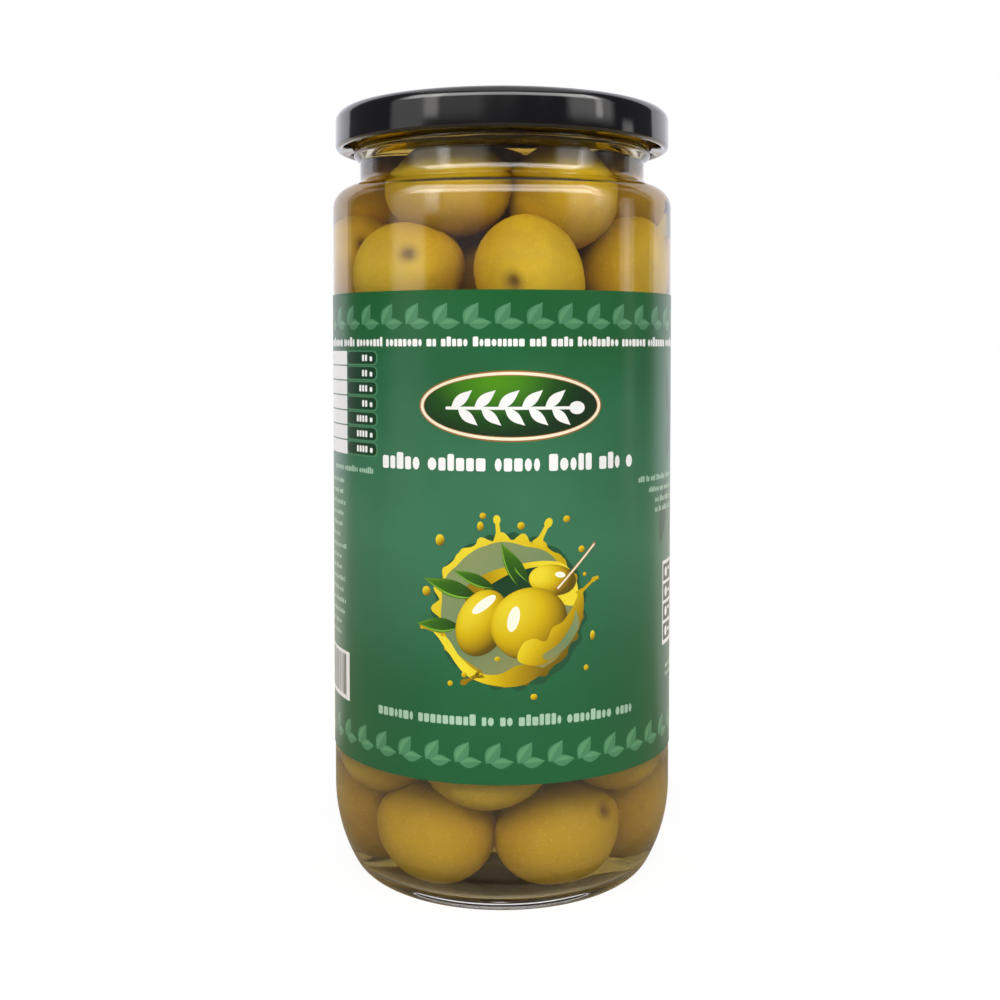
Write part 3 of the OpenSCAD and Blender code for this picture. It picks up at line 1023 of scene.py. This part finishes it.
def group(name, inputs, outputs):
    """A node group with its sockets. Each socket is (name, type, value)."""
    tree = bpy.data.node_groups.new(name, "ShaderNodeTree")
    for label, kind, value in inputs:
        socket = tree.interface.new_socket(label, in_out="INPUT", socket_type="NodeSocket" + kind)
        if value is not None:
            socket.default_value = value
    for label, kind in outputs:
        tree.interface.new_socket(label, in_out="OUTPUT", socket_type="NodeSocket" + kind)
    return tree, tree.nodes.new("NodeGroupInput"), tree.nodes.new("NodeGroupOutput")


smears, given, result = group(
    "smears",
    [("Vector", "Vector", None), ("Clean", "Float", 0.05), ("Smeared", "Float", 0.2),
     ("Scale", "Float", 60.0)],
    [("Roughness", "Float")])
stretch = add(smears, "Mapping", given.outputs["Vector"], Scale=(1, 1, 0.35))
blotch = add(smears, "TexNoise", stretch, Scale=given.outputs["Scale"], Detail=5.0, Distortion=0.8)
where = add(smears, "MapRange", blotch, 0.5, 0.72)
mixed = add(smears, "MapRange", where, 0.0, 1.0, given.outputs["Clean"], given.outputs["Smeared"])
feed(smears, result.inputs["Roughness"], mixed)

mottle, given, result = group(
    "mottle",
    [("Vector", "Vector", None), ("Base", "Color", (1, 1, 1, 1)), ("Blotch", "Color", (1, 1, 1, 1)),
     ("Speck", "Color", (1, 1, 1, 1)), ("Blotch Scale", "Float", 90.0),
     ("Speck Scale", "Float", 1400.0), ("Speck Amount", "Float", 0.3)],
    [("Color", "Color"), ("Height", "Float")])
broad = add(mottle, "TexNoise", given.outputs["Vector"], Scale=given.outputs["Blotch Scale"], Detail=3.0)
broad_mask = add(mottle, "MapRange", broad, 0.35, 0.65)
toned = mix_colours(mottle, broad_mask, given.outputs["Base"], given.outputs["Blotch"])
fine = add(mottle, "TexVoronoi", given.outputs["Vector"], Scale=given.outputs["Speck Scale"])
fine_mask = add(mottle, "MapRange", fine.outputs["Distance"], 0.32, 0.12)
fine_share = add(mottle, "Math", fine_mask, given.outputs["Speck Amount"], operation="MULTIPLY")
specked = mix_colours(mottle, fine_share, toned, given.outputs["Speck"])
feed(mottle, result.inputs["Color"], specked)
feed(mottle, result.inputs["Height"], fine_mask)
print("groups:", [g.name for g in bpy.data.node_groups])


def placed(tree, shared, **named):
    """Places a node group in a material, with its own values."""
    node = tree.nodes.new("ShaderNodeGroup")
    node.node_tree = shared
    for name, value in named.items():
        feed(tree, node.inputs[name.replace("_", " ")], value)
    return node


# %% [markdown]
# Glass bends light, which a renderer traces well, but light that has to reach the olives through two
# curved skins would take very long to find. So the glass lets shadow rays pass straight through with a
# slight tint. Its skin is a little wavy, as moulded glass is, and the waves bend the reflections.

# %% Clear glass and brine


def see_through(tree, shader, tint):
    """Lets light reach what lies behind a clear shader."""
    return mix_shaders(tree, ray_is(tree, "Shadow"), shader, add(tree, "BsdfTransparent", tint))


GLASS_IOR, BRINE_IOR = 1.5, 1.34
DRY_SHINE, WET_SHINE = 0.5, 0.04
FLOOR_BELOW = 8.0
WETTED_SURFACE, OPEN_SURFACE = 0.12, 0.5


def glass(name, shine):
    """Clear moulded glass. Where liquid wets it, it hardly shines."""
    material, tree, place = finish(name)
    waves = add(tree, "TexNoise", place, Scale=38.0, Detail=2.0)
    wavy_normal = add(tree, "Bump", Strength=0.25, Distance=0.0004, Height=waves)
    handled = placed(tree, smears, Vector=place, Clean=0.0, Smeared=0.05, Scale=55.0)
    shader = add(tree, "BsdfPrincipled", Base_Color=(0.985, 0.995, 0.985, 1), Roughness=handled,
                 IOR=GLASS_IOR, Normal=wavy_normal, Transmission_Weight=1.0,
                 Specular_IOR_Level=shine)
    output(tree, see_through(tree, shader, (0.97, 0.98, 0.97, 1)))
    return material


def outward(face):
    """How squarely a face looks away from the jar's axis: 1 is straight out, -1 straight in."""
    return face.normal.dot(Vector((face.center.x, face.center.y, 0)).normalized())


jar.data.materials.append(glass("clear_glass", DRY_SHINE))
jar.data.materials.append(glass("wetted_glass", WET_SHINE))
for face in jar.data.polygons:
    height = face.center.z / MM
    floor_top = face.normal.z > 0.5 and height < FLOOR_BELOW
    wet = (outward(face) < 0 and height > FLOOR_Z or floor_top) and height < BRINE_Z
    face.material_index = int(wet)

BRINE_TINT = (0.78, 0.64, 0.05, 1)
BRINE_DENSITY = 60.0


def liquid(name, shine):
    """Amber brine. Only its open surface shines, because the rest touches the glass."""
    material, tree, place = finish(name)
    swirl = add(tree, "TexNoise", place, Scale=24.0, Detail=2.0)
    swirl_normal = add(tree, "Bump", Strength=0.1, Distance=0.0003, Height=swirl)
    shader = add(tree, "BsdfPrincipled", Base_Color=(1, 1, 1, 1), Roughness=0.0, IOR=BRINE_IOR,
                 Normal=swirl_normal, Transmission_Weight=1.0, Specular_IOR_Level=shine)
    drink = add(tree, "VolumeAbsorption", Color=BRINE_TINT, Density=BRINE_DENSITY)
    output(tree, see_through(tree, shader, (1, 1, 1, 1)), drink)
    return material


brine.data.materials.append(liquid("amber_brine", WETTED_SURFACE))
brine.data.materials.append(liquid("brine_surface", OPEN_SURFACE))
for face in brine.data.polygons:
    face.material_index = int(face.center.z > (BRINE_Z - 0.05) * MM and face.normal.z > 0.2)

# %% [markdown]
# Olive skin is yellow green and matt in brine, because the liquid takes its shine away. Each olive's
# tone is partly random and partly set by its height in the jar: the lower ones are browner and the
# upper ones more golden. The skin has broad soft blotches, fine pale pores and a brown scar where
# the stalk sat. A little light travels under the skin, so the shadows stay warm.

# %% Olive skin
olive_finish, tree, place = finish("olive_skin")
tone = add(tree, "Attribute", attribute_name="tone").outputs["Fac"]
scar = add(tree, "Attribute", attribute_name="scar").outputs["Fac"]
base = ramp(tree, tone, (0.0, rgb(180, 152, 56)), (0.5, rgb(196, 166, 40)), (1.0, rgb(218, 180, 20)))
skin = placed(tree, mottle, Vector=place, Base=base.outputs[0], Blotch=rgb(184, 154, 36),
              Speck=rgb(220, 196, 84), Blotch_Scale=70.0, Speck_Scale=900.0, Speck_Amount=0.22)
scar_mask = add(tree, "MapRange", scar, 0.2, 1.0)
scarred = mix_colours(tree, scar_mask, skin.outputs["Color"], rgb(112, 82, 34))
pores = add(tree, "Bump", Strength=0.25, Distance=0.0002, Height=skin.outputs["Height"])
shader = add(tree, "BsdfPrincipled", Base_Color=scarred, Roughness=0.55, Normal=pores,
             Specular_IOR_Level=0.15, Subsurface_Weight=0.25, Subsurface_Radius=(1.0, 0.75, 0.25),
             Subsurface_Scale=0.003)
output(tree, shader)
olives.data.materials.append(olive_finish)

# %% [markdown]
# The lid is stoved lacquer on tin: black, very glossy and faintly uneven, like orange peel.

# %% Black lacquer
lacquer, tree, place = finish("black_lacquer")
handled = placed(tree, smears, Vector=place, Clean=0.07, Smeared=0.2, Scale=70.0)
peel = add(tree, "TexNoise", place, Scale=900.0, Detail=2.0)
peel_normal = add(tree, "Bump", Strength=0.12, Distance=0.00005, Height=peel)
deep = placed(tree, mottle, Vector=place, Base=rgb(9, 9, 11), Blotch=rgb(13, 13, 15),
              Speck=rgb(40, 40, 44), Blotch_Scale=40.0, Speck_Scale=2600.0, Speck_Amount=0.12)
shader = add(tree, "BsdfPrincipled", Base_Color=deep.outputs["Color"], Roughness=handled,
             Normal=peel_normal, Coat_Weight=0.5, Coat_Roughness=0.05)
output(tree, shader)
lid.data.materials.append(lacquer)

# %% [markdown]
# Inside, the sheet has a buff lacquer that keeps the brine off the tin. The faces that look down or
# towards the axis take it, apart from the rolled curl, which is folded from the black side.

# %% The lid's buff lining
lining, tree, place = finish("buff_lacquer")
handled = placed(tree, smears, Vector=place, Clean=0.16, Smeared=0.3, Scale=70.0)
warm = placed(tree, mottle, Vector=place, Base=rgb(206, 168, 84), Blotch=rgb(196, 156, 74),
              Speck=rgb(170, 128, 56), Blotch_Scale=60.0, Speck_Scale=2200.0, Speck_Amount=0.15)
shader = add(tree, "BsdfPrincipled", Base_Color=warm.outputs["Color"], Roughness=handled,
             Metallic=0.35)
output(tree, shader)
lid.data.materials.append(lining)
for face in lid.data.polygons:
    lined = face.center.z > (LID_Z + 2 * CURL) * MM and (face.normal.z < -0.3 or outward(face) < -0.3)
    over_curl = math.hypot(face.center.x, face.center.y) < (PANEL_R + 1) * MM
    face.material_index = int(lined and (face.normal.z < 0.3 or not over_curl))

# %% [markdown]
# The label is coated paper. Ink lies in it and a thin varnish on top gives every colour the same
# shine, so all the inks share one recipe and differ in colour only. An ink may run through several
# colours along the shade that its shapes carry.

# %% Paper and inks
VARNISH = {"Coat_Weight": 0.2, "Coat_Roughness": 0.14, "Specular_IOR_Level": 0.3}


def ink_finish(name, *colours, factor=None):
    """Printed and varnished paper that runs through colours along a factor."""
    material, tree, place = finish(name)
    if factor:
        along = factor(tree, place)
    else:
        along = add(tree, "Attribute", attribute_name="shade").outputs["Fac"]
    stops = [(i / max(1, len(colours) - 1), colour) for i, colour in enumerate(colours)]
    plain = ramp(tree, along, *stops).outputs[0] if len(colours) > 1 else colours[0]
    darker = add(tree, "HueSaturation", Value=0.9)
    feed(tree, darker.inputs["Color"], plain)
    print_grain = placed(tree, mottle, Vector=place, Base=plain, Blotch=darker.outputs[0],
                         Speck=darker.outputs[0], Blotch_Scale=55.0, Speck_Scale=2400.0,
                         Speck_Amount=0.25)
    handled = placed(tree, smears, Vector=place, Clean=0.32, Smeared=0.42, Scale=45.0)
    fibres = add(tree, "TexNoise", place, Scale=700.0, Detail=3.0)
    paper_normal = add(tree, "Bump", Strength=0.12, Distance=0.00004, Height=fibres)
    shader = add(tree, "BsdfPrincipled", Base_Color=print_grain.outputs["Color"], Roughness=handled,
                 Normal=paper_normal, **VARNISH)
    output(tree, shader)
    return material


def up_the_label(tree, place):
    """0 at the label's lower edge, 1 at its upper edge, a little cloudy."""
    height = add(tree, "SeparateXYZ", place).outputs["Z"]
    cloud = add(tree, "TexNoise", place, Scale=28.0, Detail=3.0)
    drift = add(tree, "MapRange", cloud, 0.3, 0.7, -0.007, 0.007)
    moved_up = add(tree, "Math", height, drift, operation="ADD")
    return add(tree, "MapRange", moved_up, PAPER_Z * MM, PAPER_TOP * MM).outputs[0]


# The green field is lighter across the middle of the label and darker towards its upper and lower edges.
FIELD = [rgb(22, 90, 52), rgb(28, 93, 58), rgb(43, 103, 72), rgb(53, 113, 84), rgb(48, 108, 78),
         rgb(33, 97, 61), rgb(21, 91, 44)]
paper.data.materials.append(ink_finish("green_field", *FIELD, factor=up_the_label))
back_finish, tree, place = finish("bare_paper")
fibre = placed(tree, mottle, Vector=place, Base=rgb(232, 230, 222), Blotch=rgb(222, 219, 209),
               Speck=rgb(205, 200, 188), Blotch_Scale=120.0, Speck_Scale=1800.0, Speck_Amount=0.3)
shader = add(tree, "BsdfPrincipled", Base_Color=fibre.outputs["Color"], Roughness=0.8)
output(tree, shader)
paper.data.materials.append(back_finish)
for face in paper.data.polygons:
    face.material_index = int(outward(face) < 0)

INKS = {
    "print_leaves": [rgb(70, 129, 93)],
    "print_leaf_lights": [rgb(87, 146, 105)],
    "print_leaf_edges": [rgb(118, 172, 52)],
    "print_white": [rgb(236, 238, 240)],
    "print_deep_green": [rgb(16, 58, 34)],
    "print_grey": [rgb(120, 126, 136)],
    "print_cream": [rgb(236, 230, 206)],
    "print_brown": [rgb(150, 100, 44)],
    "print_badge_green": [rgb(14, 44, 20), rgb(24, 72, 20), rgb(60, 122, 20), rgb(78, 144, 20)],
    "print_gold": [rgb(92, 74, 12), rgb(160, 130, 6), rgb(202, 174, 8), rgb(226, 208, 48)],
    "print_oil_film": [rgb(140, 136, 84), rgb(104, 130, 92), rgb(132, 146, 98)],
    "print_pale_copy": [rgb(158, 192, 170)],
    "print_highlight": [rgb(250, 244, 224)],
    "print_leaf_green": [rgb(22, 58, 18), rgb(48, 98, 20), rgb(96, 148, 34)],
    "print_shadow_leaves": [rgb(30, 78, 52)],
}
for name, colours in INKS.items():
    print_pieces[name].data.materials.append(ink_finish(name + "_ink", *colours))

# %% [markdown]
# ## The studio
# The jar stands on a white floor in front of a white backdrop. Around it the room is dim, apart from a
# few soft boxes, and that is what gives glass its shape: bright edges, dark flanks and thin streaks.
# The backdrop and the boxes are painted on the sky by direction, all with one node group.

# %% Backdrop and soft boxes
box_group, given, result = group(
    "soft_box",
    [("Azimuth", "Float", 0.0), ("Elevation", "Float", 0.0), ("Centre", "Float", 0.0),
     ("Half Width", "Float", 20.0), ("Low", "Float", 0.0), ("High", "Float", 40.0),
     ("Soft", "Float", 2.0), ("Strength", "Float", 1.0)],
    [("Light", "Float")])


def edge(tree, value, start, soft, rising=True):
    """A soft step at start."""
    gap = add(tree, "Math", value, start, operation="SUBTRACT")
    share = add(tree, "Math", gap, soft, operation="DIVIDE")
    step = add(tree, "Math", share, 0.5, operation="ADD", use_clamp=True)
    return step if rising else add(tree, "Math", 1.0, step, operation="SUBTRACT")


offset = add(box_group, "Math", given.outputs["Azimuth"], given.outputs["Centre"], operation="SUBTRACT")
offset = add(box_group, "Math", offset, 180.0, -180.0, operation="WRAP")
away = add(box_group, "Math", offset, operation="ABSOLUTE")
soft = given.outputs["Soft"]
light = edge(box_group, away, given.outputs["Half Width"], soft, rising=False)
for side, rising in (("Low", True), ("High", False)):
    step = edge(box_group, given.outputs["Elevation"], given.outputs[side], soft, rising)
    light = add(box_group, "Math", light, step, operation="MULTIPLY")
light = add(box_group, "Math", light, given.outputs["Strength"], operation="MULTIPLY")
feed(box_group, result.inputs["Light"], light)

world = bpy.data.worlds.new("studio")
bpy.context.scene.world = world
world.use_nodes = True
tree = world.node_tree
tree.nodes.clear()
direction = add(tree, "TexCoord").outputs["Generated"]
azimuth = turn_about_jar(tree, direction)
rise = add(tree, "Math", add(tree, "SeparateXYZ", direction).outputs["Z"], operation="ARCSINE")
elevation = add(tree, "Math", rise, operation="DEGREES")

DIM = (0.10, 0.10, 0.115)
BACKDROP = (0.88, 0.88, 0.94, 1)
WARM = (1.0, 0.98, 0.95, 1)
WHITE = (1, 1, 1, 1)
SOFT_BOXES = [
    # centre, half width, low, high, softness, strength, colour; 0 is the front, 90 the right
    (178, 56, -60, 62, 2, 1.05, BACKDROP),
    (0, 72, 22, 46, 8, 4.8, WARM),
    (0, 180, 60, 100, 12, 0.8, WARM),
    (-66, 13, -12, 46, 4, 0.75, WARM),
    (-48, 5, 7, 46, 3, 2.4, WARM),
    (-27, 15, 6, 40, 7, 0.55, WARM),
    (62, 17, 7, 46, 6, 1.25, WARM),
    (68, 2.5, 8, 46, 2, 2.2, WARM),
    (93, 5, -30, 8, 3, 1.1, WARM),
]
colour = DIM
for centre, half, low, high, softness, strength, tint in SOFT_BOXES:
    lit = placed(tree, box_group, Azimuth=azimuth, Elevation=elevation, Centre=centre,
                 Half_Width=half, Low=low, High=high, Soft=softness, Strength=strength)
    scaled = add(tree, "VectorMath", tint[:3], operation="SCALE", Scale=lit)
    colour = add(tree, "VectorMath", colour, scaled, operation="ADD")
studio_light = add(tree, "Background", colour)
seen_white = add(tree, "Background", WHITE)
add(tree, "OutputWorld", mix_shaders(tree, ray_is(tree, "Camera"), studio_light, seen_white))
print(f"{len(SOFT_BOXES)} soft boxes")

# %% [markdown]
# The floor is two things at once. The camera sees plain bright white with a soft shadow. Every other
# ray meets a dim warm floor that glows only behind the jar, as a lit backdrop's foot does, because a
# bright floor all round would wash out the dark flanks of the glass.

# %% The floor
FLOOR_R = 0.9
GLOW_SHARE = 0.88
SWEEP_FROM = 0.1
SWEEP_GLOW = 0.6
UNDER_COLOUR = (0.32, 0.27, 0.19, 1)
SEEN_COLOUR = (0.9, 0.9, 0.9, 1)

floor_bm = bmesh.new()
bmesh.ops.create_circle(floor_bm, cap_ends=True, radius=FLOOR_R, segments=96)
floor = bpy.data.objects.new("floor", mesh_of("floor", floor_bm))
bpy.context.collection.objects.link(floor)
floor_finish, tree, place = finish("white_floor")
sweep = placed(tree, box_group, Azimuth=turn_about_jar(tree, place), Elevation=0.0, Centre=178.0,
               Half_Width=58.0, Low=-10.0, High=10.0, Soft=4.0, Strength=SWEEP_GLOW)
far = add(tree, "VectorMath", place, operation="LENGTH")
beyond = add(tree, "MapRange", far.outputs["Value"], SWEEP_FROM, SWEEP_FROM * 1.4)
lit = add(tree, "Math", sweep, beyond, operation="MULTIPLY")
warm_floor = add(tree, "AddShader", add(tree, "Emission", BACKDROP, lit),
                 add(tree, "BsdfDiffuse", UNDER_COLOUR))
seen_floor = mix_shaders(tree, GLOW_SHARE, add(tree, "BsdfDiffuse", SEEN_COLOUR),
                         add(tree, "Emission", WHITE))
output(tree, mix_shaders(tree, ray_is(tree, "Camera"), warm_floor, seen_floor))
floor.data.materials.append(floor_finish)
print(f"floor {2 * FLOOR_R:.1f} m across, glowing behind the jar from {SWEEP_FROM} m")
